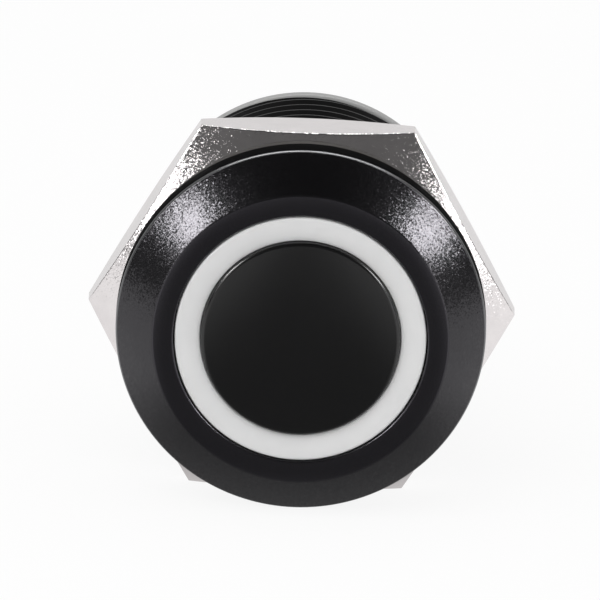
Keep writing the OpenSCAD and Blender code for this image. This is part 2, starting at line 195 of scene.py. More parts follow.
class PushbuttonSizes(bpy.types.PropertyGroup):
    """Sizes of the finished surfaces that the CAD nodes' boxes don't give."""

    steps: IntProperty(name="Steps", description="Faces round every turned piece", default=180)
    face_r: length("Face radius", "Outer radius of the head's flat front", 5.6)
    side_h: length("Side height", "Height of the head's straight side", 1.1)
    lip_r: length("Lip radius", "Radius of the opening round the luminous ring", 4.8)
    lip_t: length("Lip depth", "Depth of the lip that keeps the plunger in", 1.65)
    bore_r: length("Bore radius", "Radius of the barrel's bore", 5.0)
    barrel_r: length("Barrel radius", "Major radius of the thread", 6.0)
    barrel_lead: length("Barrel lead", "Chamfer at the barrel's rear end", 0.25)
    pitch: length("Thread pitch", "Pitch of the barrel's thread", 0.75)
    thread_h: length("Thread height", "Height of the thread between root and crest", 0.4)
    metal_round: length("Metal edge", "Rounding of machined edges", 0.05)
    rim_round: length("Rim edge", "Rounding of the bright edge round the head", 0.085)
    nut_inset: length("Nut inset", "How far the nut's chamfer circle lies inside its flats", 0.25)
    nut_mouth: length("Nut mouth", "Chamfer at each end of the nut's thread", 0.15)
    ring_w: length("Ring width", "Width of the luminous ring", 0.95)
    ring_round: length("Ring edge", "Rounding of the ring's outer edge", 0.12)
    ring_dish: length("Ring dish", "How far the ring's front is dished towards the cap", 0.2)
    pocket_h: length("Pocket depth", "Depth of the cap's pocket in the ring", 1.2)
    web_t: length("Web thickness", "Thickness of the web under the cap", 1.0)
    skirt_t: length("Skirt wall", "Wall of the plunger's guide skirt", 1.3)
    groove_offset: length("Groove place", "Distance from the shoulder to the seal groove", 0.6)
    groove_w: length("Groove width", "Width of the seal groove", 0.8)
    groove_h: length("Groove depth", "Depth of the seal groove", 0.54)
    stem_r: length("Stem radius", "Radius of the cap's stem", 0.75)
    cap_round: length("Cap edge", "Rounding of the cap's front edge", 0.16)
    seal_round: length("Seal edge", "Rounding of the panel seal's edges", 0.25)
    flange_t: length("Flange thickness", "Thickness of the block's flange", 0.5)
    rear_r: length("Rear radius", "Radius of the block behind its flange", 4.7)
    chamber_r: length("Chamber radius", "Radius of the contact chamber", 3.81)
    plate_step: length("Plate step", "Step that the guide plate sits on", 0.3)
    plastic_round: length("Plastic edge", "Rounding of moulded edges", 0.12)
    pin_r: length("Pin radius", "Radius of a free terminal pin", 0.45)
    shank_r: length("Shank radius", "Radius of a pin inside the block", 0.65)
    pin_round: length("Pin tip", "Rounding of the pins' tips", 0.18)


class PushbuttonColours(bpy.types.PropertyGroup):
    """Colours of the finishes, in linear light."""

    anodised: colour("Anodised", "Black anodised front, barrel and cap", (0.0018, 0.0017, 0.002))
    matt_side: colour("Matt side", "Side of the head", (0.004, 0.004, 0.0042))
    worn_edge: colour("Worn edge", "Edge round the head where black is worn", (0.17, 0.17, 0.175))
    nickel: colour("Nickel", "Plated nut", (0.80, 0.765, 0.765))
    luminous: colour("Ring", "Milky moulding of the luminous ring", (0.77, 0.77, 0.77))
    rubber: colour("Rubber", "Panel seal", (0.03, 0.023, 0.017))
    moulding: colour("Moulding", "Rear block", (0.36, 0.36, 0.355))
    potting: colour("Potting", "Resin round the pins", (0.018, 0.018, 0.019))
    gilding: colour("Gilding", "Gold flash on the pins", (0.83, 0.62, 0.28))
    backdrop: colour("Backdrop", "Floor and backdrop", (0.92, 0.92, 0.92))


class PushbuttonStage(bpy.types.PropertyGroup):
    """Camera and lights."""

    elevation: rotation("Elevation", "Camera's height above the axis", 15.6)
    roll: rotation("Roll", "Turn of the camera about its view", 2.1)
    distance: length("Distance", "From the camera to the head", 900)
    aside: length("Aside", "How far the view's centre is to the right of the head's", -0.07)
    rise: length("Rise", "How far the view's centre is above the head's", 1.12)
    focal: FloatProperty(name="Focal length", description="Lens, in millimetres", default=1430)
    softbox_reach: length("Softbox distance", "From each lamp to the switch", 300)
    softbox_power: lamp_power("Softbox power", "Power of each softbox", 0.42)
    front_power: lamp_power("Front power", "Power of each lamp that the nut's corners mirror", 0.1)
    fill_power: lamp_power("Fill power", "Power of the soft light that only shades", 0.3)
    strip_power: lamp_power("Strip power", "Power of the strip whose reflection edges the head", 0.7)
    ambient: FloatProperty(
        name="Ambient", description="Strength of the room's even light", default=0.75
    )


def sizes():
    """The sizes as they are set, with lengths in metres."""
    return bpy.context.scene.pushbutton_sizes


def mm(name):
    """A named size in millimetres."""
    return getattr(sizes(), name) / MM


def tone(name):
    """A named colour with full alpha."""
    return (*getattr(bpy.context.scene.pushbutton_colours, name), 1.0)


# Shapes


def ring_edges(bm, radius, place):
    """Edges of the circle that a turned outline's point swept."""

    def on_circle(vert):
        off = math.hypot(vert.co.x, vert.co.z) - radius
        return abs(off) < NEAR and abs(vert.co.y - place) < NEAR

    return [edge for edge in bm.edges if on_circle(edge.verts[0]) and on_circle(edge.verts[1])]


def turned(outline, steps=None):
    """A solid turned about the Y axis from points of (radius, place, rounding).

    An outline that starts on the axis also ends there. Any other is a closed loop.
    """
    bm = bmesh.new()
    verts = [bm.verts.new((radius, place, 0)) for radius, place, _ in outline]
    pairs = list(zip(verts, verts[1:]))
    if outline[0][0] > 0:
        pairs.append((verts[-1], verts[0]))
    edges = [bm.edges.new(pair) for pair in pairs]
    bmesh.ops.spin(
        bm,
        geom=verts + edges,
        cent=ORIGIN,
        axis=Y_AXIS,
        dvec=ORIGIN,
        angle=2 * math.pi,
        steps=steps or sizes().steps,
        use_merge=True,
    )
    bmesh.ops.remove_doubles(bm, verts=bm.verts, dist=WELD)
    bmesh.ops.recalc_face_normals(bm, faces=bm.faces)
    for radius, place, rounding in outline:
        if rounding:
            round_edges(bm, ring_edges(bm, radius, place), rounding, TURNED_SEGMENTS)
    return bm


def round_edges(bm, edges, offset, segments):
    """Rounds edges of a mesh."""
    bmesh.ops.bevel(
        bm,
        geom=edges,
        offset=offset,
        offset_type="OFFSET",
        affect="EDGES",
        segments=segments,
        profile=0.5,
        material=-1,
        clamp_overlap=True,
    )


def add_mesh(bm, other):
    """Adds another mesh's solids to this one."""
    spare = bpy.data.meshes.new("spare")
    other.to_mesh(spare)
    other.free()
    bm.from_mesh(spare)
    bpy.data.meshes.remove(spare)


def give_finish(bm, index, test):
    """Gives another of the piece's materials to the faces whose radius, place and normal pass."""
    for face in bm.faces:
        middle = face.calc_center_median()
        if test(math.hypot(middle.x, middle.z), middle.y, face.normal):
            face.material_index = index


def place_piece(bm, name, body, slot, materials, *nodes, sharp=SHARP):
    """Makes a piece of a mesh in millimetres, on its body and in place of its CAD nodes.

    Edges that turn by more than the angle sharp stay sharp in the shading.
    """
    bmesh.ops.scale(bm, vec=(MM, MM, MM), verts=bm.verts)
    mesh = bpy.data.meshes.new(name)
    bm.to_mesh(mesh)
    bm.free()
    mesh.polygons.foreach_set("use_smooth", [True] * len(mesh.polygons))
    mesh.set_sharp_from_angle(angle=sharp)
    for material in materials:
        mesh.materials.append(material)
    piece = bpy.data.objects.new(name, mesh)
    bpy.context.scene.collection.objects.link(piece)
    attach(piece, body)
    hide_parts(*nodes)
    even = piece.modifiers.new("even_normals", "WEIGHTED_NORMAL")
    even.keep_sharp = True
    return piece


def thread(start, end, crest_r, root_r, inner_r, lead):
    """A threaded sleeve: a right-hand helix trimmed square at both ends."""
    pitch = mm("pitch")
    steps = sizes().steps
    # A turn more than fits at each end, for the trimming
    turns = math.ceil((end - start) / pitch) + 2
    bm = bmesh.new()
    tooth = [
        (root_r, 0),
        (root_r, FLANK_START),
        (crest_r, CREST_START),
        (crest_r, CREST_END),
        (root_r, 1),
    ]
    verts = [bm.verts.new((radius, start + (share - 1) * pitch, 0)) for radius, share in tooth]
    edges = [bm.edges.new(pair) for pair in zip(verts, verts[1:])]
    bmesh.ops.spin(
        bm,
        geom=verts + edges,
        cent=ORIGIN,
        axis=Y_AXIS,
        dvec=(0, pitch / steps, 0),
        angle=2 * math.pi * turns,
        steps=steps * turns,
    )
    bmesh.ops.remove_doubles(bm, verts=bm.verts, dist=NEAR)
    for place, outward in ((start, -1), (end, 1)):
        bmesh.ops.bisect_plane(
            bm,
            geom=bm.verts[:] + bm.edges[:] + bm.faces[:],
            dist=WELD,
            plane_co=(0, place, 0),
            plane_no=(0, outward, 0),
            clear_outer=True,
        )
    for vert in bm.verts:
        room = min(crest_r, root_r + end - vert.co.y + crest_r - root_r - lead)
        radius = math.hypot(vert.co.x, vert.co.z)
        if radius > room:
            vert.co.x *= room / radius
            vert.co.z *= room / radius
    open_edges = [edge for edge in bm.edges if edge.is_boundary]
    grown = bmesh.ops.extrude_edge_only(bm, edges=open_edges)["geom"]
    for vert in (item for item in grown if isinstance(item, bmesh.types.BMVert)):
        radius = math.hypot(vert.co.x, vert.co.z)
        vert.co.x *= inner_r / radius
        vert.co.z *= inner_r / radius
    bmesh.ops.bridge_loops(bm, edges=[edge for edge in bm.edges if edge.is_boundary])
    bmesh.ops.recalc_face_normals(bm, faces=bm.faces)
    give_finish(bm, THREAD_FINISH, lambda *_: True)
    return bm


def bezel_mesh():
    """Head, lip and threaded barrel, with a worn rim and a matt side."""
    metal, rim = mm("metal_round"), mm("rim_round")
    lip_round = metal * 1.6
    root_r = mm("barrel_r") - mm("thread_h")
    front, rear = HEAD_LOW.y, HEAD_HIGH.y
    shoulder = front + mm("lip_t")
    bm = turned([
        (mm("lip_r"), front, lip_round),
        (mm("face_r"), front, metal),
        (HEAD_HIGH.x, -mm("side_h"), rim),
        (HEAD_HIGH.x, 0, metal),
        (root_r, 0, 0),
        (root_r, rear, 0),
        (mm("bore_r"), rear, 0),
        (mm("bore_r"), shoulder, 0),
        (mm("lip_r"), shoulder, 0),
    ])
    rim_place, rim_r = -mm("side_h"), HEAD_HIGH.x - rim
    bore_r, barrel_r, face_r = mm("bore_r"), mm("barrel_r"), mm("face_r")
    for index, test in (
        (RIM_FINISH, lambda radius, place, _: radius > rim_r and abs(place - rim_place) < rim),
        (SIDE_FINISH, lambda radius, place, _: radius > rim_r and rim_place + rim < place < 0),
        (THREAD_FINISH, lambda radius, place, _: bore_r < radius < barrel_r and place > rim_place),
        (FACE_FINISH, lambda radius, place, _: radius < face_r and place < front + metal / 2),
    ):
        give_finish(bm, index, test)
    start, end = THREAD_START, rear - THREAD_STOP
    add_mesh(bm, thread(start, end, barrel_r, root_r, root_r - THREAD_SINK, mm("barrel_lead")))
    return bm


def seal_mesh():
    """Flat rubber ring with soft edges."""
    inner = mm("barrel_r") + THREAD_GAP
    outer = SEAL_HIGH.x
    soft = mm("seal_round")
    return turned([
        (inner, SEAL_LOW.y, 0),
        (outer, SEAL_LOW.y, soft),
        (outer, SEAL_HIGH.y, soft),
        (inner, SEAL_HIGH.y, 0),
    ])


def nut_mesh():
    """Hexagon cut from a chamfered blank, with a thread mouth at each end."""
    front, rear = NUT_LOW.y, NUT_HIGH.y
    flat_r = NUT_HIGH.z
    face_r = flat_r - mm("nut_inset")
    blank_r = NUT_HIGH.x + BLANK_MARGIN
    drop = (blank_r - face_r) * math.tan(NUT_CHAMFER)
    bore = mm("barrel_r") + THREAD_GAP
    mouth = mm("nut_mouth")
    flat_round = mm("metal_round") * 0.6
    bm = turned([
        (bore, front + mouth, 0),
        (bore + mouth, front, 0),
        (face_r, front, 0),
        (blank_r, front + drop, 0),
        (blank_r, rear - drop, 0),
        (face_r, rear, 0),
        (bore + mouth, rear, 0),
        (bore, rear - mouth, 0),
    ])
    for side in range(6):
        angle = math.radians(30 + 60 * side)
        outward = Vector((math.cos(angle), 0, math.sin(angle)))
        cut = bmesh.ops.bisect_plane(
            bm,
            geom=bm.verts[:] + bm.edges[:] + bm.faces[:],
            dist=WELD,
            plane_co=outward * flat_r,
            plane_no=outward,
            clear_outer=True,
        )["geom_cut"]
        rim = [item for item in cut if isinstance(item, bmesh.types.BMEdge)]
        bmesh.ops.edgeloop_fill(bm, edges=rim)
    bmesh.ops.recalc_face_normals(bm, faces=bm.faces)
    sharp = [edge for edge in bm.edges if edge.is_manifold and edge.calc_face_angle() > SHARP]
    round_edges(bm, sharp, flat_round, NUT_SEGMENTS)
    # The normals of the flats and of their roundings lean less than this towards the axis
    lean = 0.2
    give_finish(
        bm, FLATS_FINISH, lambda radius, _, normal: radius > face_r and abs(normal.y) < lean
    )
    return bm


def ring_mesh():
    """Luminous ring, web and guide skirt in one moulding."""
    front, rear = RING_LOW.y, RING_HIGH.y
    shoulder = HEAD_LOW.y + mm("lip_t")
    ring_r = mm("lip_r") - RING_GAP
    pocket_r = ring_r - mm("ring_w")
    pocket = front + mm("pocket_h")
    web = pocket + mm("web_t")
    skirt_r = RING_HIGH.x
    hole_r = mm("stem_r") + STEM_GAP
    inner_round = 0.04
    groove = shoulder + mm("groove_offset")
    groove_r = skirt_r - mm("groove_h")
    return turned([
        (hole_r, pocket, 0),
        (pocket_r, pocket, 0),
        (pocket_r, front + mm("ring_dish"), inner_round),
        (ring_r, front, mm("ring_round")),
        (ring_r, shoulder, 0),
        (skirt_r, shoulder, 0),
        (skirt_r, groove, 0),
        (groove_r, groove, 0),
        (groove_r, groove + mm("groove_w"), 0),
        (skirt_r, groove + mm("groove_w"), 0),
        (skirt_r, rear, 0),
        (skirt_r - mm("skirt_t"), rear, 0),
        (skirt_r - mm("skirt_t"), web, 0),
        (hole_r, web, 0),
    ])


def cap_mesh():
    """Cap with a rounded rim, and its stem."""
    pocket = RING_LOW.y + mm("pocket_h")
    return turned([
        (0, CAP_LOW.y, 0),
        (CAP_HIGH.x, CAP_LOW.y, mm("cap_round")),
        (CAP_HIGH.x, pocket, 0),
        (mm("stem_r"), pocket, 0),
        (mm("stem_r"), CAP_HIGH.y, 0),
        (0, CAP_HIGH.y, 0),
    ])


def block_mesh():
    """Rear block with its chamber, flange and potting pocket."""
    edge = mm("plastic_round")
    corner = 0.08
    barrel_end = HEAD_HIGH.y
    flange_end = barrel_end + mm("flange_t")
    floor = PIN_LOW.y + PIN_HEAD
    block_r = mm("bore_r") - BLOCK_GAP
    wide_r = mm("chamber_r") + mm("plate_step")
    plate_end = high_mm("guide_plate").y
    return turned([
        (0, floor, 0),
        (mm("chamber_r"), floor, 0),
        (mm("chamber_r"), plate_end, 0),
        (wide_r, plate_end, 0),
        (wide_r, BLOCK_LOW.y, 0),
        (block_r, BLOCK_LOW.y, 0),
        (block_r, barrel_end, 0),
        (BLOCK_HIGH.x, barrel_end, edge),
        (BLOCK_HIGH.x, flange_end, edge),
        (mm("rear_r"), flange_end, corner),
        (mm("rear_r"), BLOCK_HIGH.y, edge * 2),
        (POTTING_HIGH.x, BLOCK_HIGH.y, edge),
        (POTTING_HIGH.x, POTTING_LOW.y, 0),
        (0, POTTING_LOW.y, 0),
    ])


def potting_mesh():
    """Cast resin, with a meniscus that climbs the pocket's wall."""
    radius = POTTING_HIGH.x - RESIN_GAP
    bottom = POTTING_LOW.y + RESIN_GAP
    slope = [(radius - inwards, POTTING_HIGH.y - drop, soft) for inwards, drop, soft in MENISCUS]
    return turned([(0, bottom, 0), (radius, bottom, 0), *slope, (0, slope[-1][1], 0)])


def pin_mesh(node):
    """Terminal pin with its head in the chamber and a rounded step from its shank at the rear."""
    low, high = low_mm(node), high_mm(node)
    head_r = (high.x - low.x) / 2
    head_end = low.y + PIN_HEAD
    edge = 0.05
    bm = turned(
        [
            (0, low.y, 0),
            (head_r, low.y, edge),
            (head_r, head_end, 0),
            (mm("shank_r"), head_end, 0),
            (mm("shank_r"), BLOCK_HIGH.y, edge),
            (mm("pin_r"), BLOCK_HIGH.y, 0),
            (mm("pin_r"), high.y, mm("pin_round")),
            (0, high.y, 0),
        ],
        PIN_STEPS,
    )
    middle = ((low.x + high.x) / 2, 0, (low.z + high.z) / 2)
    bmesh.ops.translate(bm, vec=middle, verts=bm.verts)
    return bm


# Finishes


def new_group(name, inputs, outputs, kind="NodeSocketFloat"):
    """An empty shader group with number inputs of (name, default) and outputs of one kind."""
    group = bpy.data.node_groups.new(name, "ShaderNodeTree")
    for label, value in inputs:
        socket = group.interface.new_socket(label, in_out="INPUT", socket_type="NodeSocketFloat")
        socket.default_value = value
    for label in outputs:
        group.interface.new_socket(label, in_out="OUTPUT", socket_type=kind)
    return group, group.nodes.new("NodeGroupInput"), group.nodes.new("NodeGroupOutput")


def node(tree, kind, values=None, **settings):
    """A node with its settings and the values of its sockets, in one call."""
    made = tree.nodes.new(kind)
    for key, value in settings.items():
        setattr(made, key, value)
    for key, value in (values or {}).items():
        made.inputs[key].default_value = value
    return made


def grain_group():
    """Blasted grain: fine pits with a slower waviness under them."""
    inputs = [("Scale", 9000), ("Pit Share", 0.6)]
    group, start, end = new_group("blasted_grain", inputs, ["Height"])
    place = node(group, "ShaderNodeTexCoord")
    pits = node(group, "ShaderNodeTexVoronoi", {"Randomness": 1.0}, feature="F1")
    fine = node(group, "ShaderNodeTexNoise", {"Detail": 3.0, "Roughness": 0.65})
    blend = node(group, "ShaderNodeMix", data_type="FLOAT")
    for texture in (pits, fine):
        group.links.new(place.outputs["Object"], texture.inputs["Vector"])
        group.links.new(start.outputs["Scale"], texture.inputs["Scale"])
    group.links.new(start.outputs["Pit Share"], blend.inputs["Factor"])
    group.links.new(fine.outputs["Fac"], blend.inputs["A"])
    group.links.new(pits.outputs["Distance"], blend.inputs["B"])
    group.links.new(blend.outputs["Result"], end.inputs["Height"])
    return group


def drift_group():
    """Slow unevenness of a finish, from a low to a high value."""
    inputs = [("Scale", 400), ("Low", 0.3), ("High", 0.4)]
    group, start, end = new_group("slow_drift", inputs, ["Value"])
    place = node(group, "ShaderNodeTexCoord")
    cloud = node(group, "ShaderNodeTexNoise", {"Detail": 4.0, "Roughness": 0.55})
    span = node(group, "ShaderNodeMapRange", {"From Min": 0.3, "From Max": 0.7})
    group.links.new(place.outputs["Object"], cloud.inputs["Vector"])
    group.links.new(start.outputs["Scale"], cloud.inputs["Scale"])
    group.links.new(cloud.outputs["Fac"], span.inputs["Value"])
    group.links.new(start.outputs["Low"], span.inputs["To Min"])
    group.links.new(start.outputs["High"], span.inputs["To Max"])
    group.links.new(span.outputs["Result"], end.inputs["Value"])
    return group


def facet_group():
    """Tiny flat facets that glint one by one: each leans its own way, and few of them lean far."""
    inputs = [("Scale", 20000), ("Lean", 0.3)]
    group, start, end = new_group("facets", inputs, ["Normal"], "NodeSocketVector")
    place = node(group, "ShaderNodeTexCoord")
    surface = node(group, "ShaderNodeNewGeometry")
    cells = node(group, "ShaderNodeTexVoronoi", {"Randomness": 1.0}, feature="F1")
    centred = node(group, "ShaderNodeVectorMath", {1: (0.5, 0.5, 0.5)}, operation="SUBTRACT")
    size = node(group, "ShaderNodeVectorMath", operation="LENGTH")
    amount = node(group, "ShaderNodeMath", operation="MULTIPLY")
    lean = node(group, "ShaderNodeVectorMath", operation="SCALE")
    leant = node(group, "ShaderNodeVectorMath", operation="ADD")
    unit = node(group, "ShaderNodeVectorMath", operation="NORMALIZE")
    group.links.new(place.outputs["Object"], cells.inputs["Vector"])
    group.links.new(start.outputs["Scale"], cells.inputs["Scale"])
    group.links.new(cells.outputs["Color"], centred.inputs[0])
    group.links.new(centred.outputs[0], lean.inputs[0])
    group.links.new(centred.outputs[0], size.inputs[0])
    group.links.new(size.outputs["Value"], amount.inputs[0])
    group.links.new(start.outputs["Lean"], amount.inputs[1])
    group.links.new(amount.outputs[0], lean.inputs["Scale"])
    group.links.new(surface.outputs["Normal"], leant.inputs[0])
    group.links.new(lean.outputs[0], leant.inputs[1])
    group.links.new(leant.outputs[0], unit.inputs[0])
    group.links.new(unit.outputs[0], end.inputs["Normal"])
    return group


def place_group(tree, name, build, values):
    """One of the shared groups, built when it is first needed."""
    made = tree.nodes.new("ShaderNodeGroup")
    made.node_tree = bpy.data.node_groups.get(name) or build()
    for key, value in values.items():
        made.inputs[key].default_value = value
    return made


def finish(name, rgba, rough, grain, metallic=0.0, shade=0.85, facets=None, **constants):
    """A material with grained bump, and slow drift of its roughness and colour.

    rough is (lowest, highest), grain is (scale, pit share, depth in metres, strength), shade is how
    dark the colour drifts, and facets is (scale, lean). Any other value is an input of the surface.
    """
    known = bpy.data.materials.get(name)
    if known:
        return known
    material = bpy.data.materials.new(name)
    material.use_nodes = True
    tree = material.node_tree
    surface = tree.nodes["Principled BSDF"]
    surface.inputs["Metallic"].default_value = metallic
    for key, value in constants.items():
        surface.inputs[key.replace("_", " ").title().replace("Ior", "IOR")].default_value = value
    scale, pit_share, depth, strength = grain
    low, high = rough
    pits = place_group(
        tree, "blasted_grain", grain_group, {"Scale": scale, "Pit Share": pit_share}
    )
    drift = place_group(
        tree, "slow_drift", drift_group, {"Scale": ROUGH_DRIFT, "Low": low, "High": high}
    )
    tint = place_group(
        tree, "slow_drift", drift_group, {"Scale": TINT_DRIFT, "Low": 0.0, "High": 1.0}
    )
    mix = node(tree, "ShaderNodeMix", data_type="RGBA")
    mix.inputs["A"].default_value = rgba
    mix.inputs["B"].default_value = (*[channel * shade for channel in rgba[:3]], 1.0)
    bump = node(tree, "ShaderNodeBump", {"Strength": strength, "Distance": depth})
    tree.links.new(tint.outputs["Value"], mix.inputs["Factor"])
    tree.links.new(mix.outputs["Result"], surface.inputs["Base Color"])
    tree.links.new(drift.outputs["Value"], surface.inputs["Roughness"])
    tree.links.new(pits.outputs["Height"], bump.inputs["Height"])
    tree.links.new(bump.outputs["Normal"], surface.inputs["Normal"])
    if facets:
        scale, lean = facets
        glints = place_group(tree, "facets", facet_group, {"Scale": scale, "Lean": lean})
        tree.links.new(glints.outputs["Normal"], bump.inputs["Normal"])
    return material


FINISHES = {
    # Chamfer of the head, with a fine blasted grain
    "black_anodising": dict(
        colour="anodised",
        rough=(0.2, 0.24),
        grain=(9000, 0.6, 0.000006, 0.5),
        facets=(24000, 0.26),
        specular_ior_level=0.62,
        specular_tint=(0.96, 0.93, 1.0, 1.0),
    ),
    # The head's flat front, turned smoother than its chamfer
    "smooth_anodising": dict(
        colour="anodised",
        rough=(0.22, 0.26),
        grain=(12000, 0.3, 0.000004, 0.3),
        specular_ior_level=0.78,
        specular_tint=(0.93, 0.89, 1.0, 1.0),
    ),
    # Rim of the head, where the black is worn to the metal
    "worn_edge": dict(
        colour="worn_edge", rough=(0.26, 0.34), grain=(9000, 0.4, 0.00001, 0.3), metallic=1.0
    ),
    # Turned side of the head, which hardly shines
    "matt_anodising": dict(
        colour="matt_side",
        rough=(0.6, 0.7),
        grain=(9000, 0.5, 0.00001, 0.4),
        specular_ior_level=0.005,
    ),
    # Threaded barrel, duller than the head
    "thread_anodising": dict(
        colour="anodised",
        rough=(0.42, 0.5),
        grain=(9000, 0.5, 0.00001, 0.4),
        specular_ior_level=0.24,
    ),
    # Cap, anodised over a smoother turned face
    "cap_anodising": dict(
        colour="anodised",
        rough=(0.19, 0.23),
        grain=(12000, 0.3, 0.000004, 0.2),
        specular_ior_level=0.6,
    ),
    # Bright nickel plate over coarsely blasted faces
    "blasted_nickel": dict(
        colour="nickel",
        rough=(0.13, 0.18),
        grain=(8000, 0.5, 0.00001, 0.6),
        metallic=1.0,
        shade=0.9,
        facets=(34000, 0.34),
    ),
    # The same plate over the smoother flats of the hexagon
    "nickel_flats": dict(
        colour="nickel",
        rough=(0.16, 0.24),
        grain=(9000, 0.3, 0.000008, 0.25),
        metallic=1.0,
        shade=0.94,
    ),
    # Milky moulding of the ring, which lets light through
    "milky_moulding": dict(
        colour="luminous",
        rough=(0.32, 0.42),
        grain=(5000, 0.2, 0.000004, 0.15),
        shade=0.97,
        subsurface_weight=0.5,
        subsurface_scale=0.0006,
        subsurface_radius=(1, 1, 1),
    ),
    # Panel seal with a dull bloom
    "moulded_rubber": dict(
        colour="rubber", rough=(0.6, 0.78), grain=(7000, 0.5, 0.00001, 0.4), shade=0.7
    ),
    # Rear block with a spark-eroded texture
    "block_moulding": dict(
        colour="moulding", rough=(0.42, 0.52), grain=(6000, 0.5, 0.00001, 0.35), shade=0.93
    ),
    # Cast resin, glossy and slightly wavy
    "cast_potting": dict(
        colour="potting", rough=(0.12, 0.25), grain=(1200, 0.1, 0.00002, 0.3), shade=0.8
    ),
    # Gold flash on drawn pins
    "gold_flash": dict(
        colour="gilding",
        rough=(0.18, 0.3),
        grain=(7000, 0.2, 0.000005, 0.25),
        metallic=1.0,
        shade=0.88,
    ),
}


def visible_finishes(*names):
    """The named materials, in this order."""
    made = []
    for name in names:
        values = dict(FINISHES[name])
        made.append(finish(name, tone(values.pop("colour")), **values))
    return made


# Colour, metallic share and roughness of the pieces that stay hidden inside
INNER_FINISHES = {
    "natural_plastic": ((0.66, 0.62, 0.52), 0.0, 0.45),
    "spring_steel": ((0.52, 0.52, 0.54), 1.0, 0.28),
    "contact_copper": ((0.72, 0.38, 0.2), 1.0, 0.3),
    "contact_silver": ((0.82, 0.8, 0.76), 1.0, 0.25),
    "tinned_wire": ((0.66, 0.67, 0.68), 1.0, 0.35),
    "board_laminate": ((0.02, 0.12, 0.05), 0.0, 0.3),
    "lamp_resin": ((0.78, 0.62, 0.2), 0.0, 0.2),
    "resistor_ceramic": ((0.02, 0.02, 0.022), 0.0, 0.35),
    "block_plastic": ((0.42, 0.42, 0.41), 0.0, 0.5),
    "seal_rubber": ((0.015, 0.015, 0.015), 0.0, 0.5),
}


def inner_finish(slot):
    """The material of a hidden piece, from its slot in the record."""
    rgb, metallic, rough = INNER_FINISHES[slot]
    return finish(
        f"inner_{slot}",
        (*rgb, 1.0),
        rough=(rough * 0.9, rough * 1.15),
        grain=(6000, 0.4, 0.000005, 0.25),
        metallic=metallic,
    )


# Operators


class PUSHBUTTON_OT_bezel(bpy.types.Operator):
    """Builds the head and its threaded barrel"""

    bl_idname = "pushbutton.bezel"
    bl_label = "Head and barrel"

    def execute(self, context):
        materials = visible_finishes(
            "black_anodising", "worn_edge", "matt_anodising", "thread_anodising", "smooth_anodising"
        )
        place_piece(
            bezel_mesh(), "head_and_barrel", "housing", "anodised_black", materials, "bezel_shell"
        )
        return {"FINISHED"}


class PUSHBUTTON_OT_seal(bpy.types.Operator):
    """Builds the rubber seal behind the head"""

    bl_idname = "pushbutton.seal"
    bl_label = "Panel seal"

    def execute(self, context):
        materials = visible_finishes("moulded_rubber")
        place_piece(
            seal_mesh(), "panel_seal", "housing", "seal_rubber", materials, "panel_gasket"
        )
        return {"FINISHED"}


class PUSHBUTTON_OT_nut(bpy.types.Operator):
    """Builds the plated hexagon nut"""

    bl_idname = "pushbutton.nut"
    bl_label = "Nut"

    def execute(self, context):
        materials = visible_finishes("blasted_nickel", "nickel_flats")
        place_piece(
            nut_mesh(), "plated_nut", "nut", "nickel_plate", materials, "hex_nut", sharp=NUT_SHARP
        )
        return {"FINISHED"}


class PUSHBUTTON_OT_button(bpy.types.Operator):
    """Builds the luminous ring and the cap inside it"""

    bl_idname = "pushbutton.button"
    bl_label = "Ring and cap"

    def execute(self, context):
        milky = visible_finishes("milky_moulding")
        place_piece(
            ring_mesh(), "luminous_ring", "plunger", "ring_plastic", milky, "light_ring"
        )
        black = visible_finishes("cap_anodising")
        place_piece(cap_mesh(), "cap", "plunger", "cap_black", black, "button_cap")
        return {"FINISHED"}


class PUSHBUTTON_OT_rear(bpy.types.Operator):
    """Builds the rear block, its potting and the four pins"""

    bl_idname = "pushbutton.rear"
    bl_label = "Rear block and pins"

    def execute(self, context):
        plastic = visible_finishes("block_moulding")
        place_piece(
            block_mesh(), "rear_block", "housing", "block_plastic", plastic, "contact_block"
        )
        resin = visible_finishes("cast_potting")
        place_piece(
            potting_mesh(), "potting", "housing", "potting_resin", resin, "sealing_compound"
        )
        gold = visible_finishes("gold_flash")
        for name in TERMINALS:
            place_piece(pin_mesh(name), f"{name}_pin", "housing", "pin_brass", gold, name)
        return {"FINISHED"}


class PUSHBUTTON_OT_inside(bpy.types.Operator):
    """Gives the pieces inside their finishes"""

    bl_idname = "pushbutton.inside"
    bl_label = "Inner pieces"

    def execute(self, context):
        for part in frame["record"]["subparts"]:
            piece = frame["nodes"][part["node"]]
            if not piece.hide_render:
                piece.data.materials.clear()
                piece.data.materials.append(inner_finish(part["material_slot"]))
        return {"FINISHED"}


def softbox(settings, name, direction, along, width, depth, power):
    """A softbox that faces the switch, with its width along the second direction."""
    outward = Vector(direction).normalized()
    along = Vector(along)
    sideways = (along - outward * along.dot(outward)).normalized()
    lamp = bpy.data.lights.new(name, "AREA")
    lamp.shape = "RECTANGLE"
    lamp.size = width
    lamp.size_y = depth
    lamp.energy = getattr(settings, power)
    holder = bpy.data.objects.new(name, lamp)
    turn = Matrix((sideways, outward.cross(sideways), outward)).transposed().to_4x4()
    holder.matrix_world = Matrix.Translation(outward * settings.softbox_reach) @ turn
    bpy.context.scene.collection.objects.link(holder)
    return holder


def ramp(tree, value, start, end, low, high):
    """A soft step from low to high as a value goes from start to end."""
    step = node(
        tree,
        "ShaderNodeMapRange",
        {"From Min": start, "From Max": end, "To Min": low, "To Max": high},
        interpolation_type="SMOOTHSTEP",
    )
    tree.links.new(value, step.inputs["Value"])
    return step.outputs["Result"]


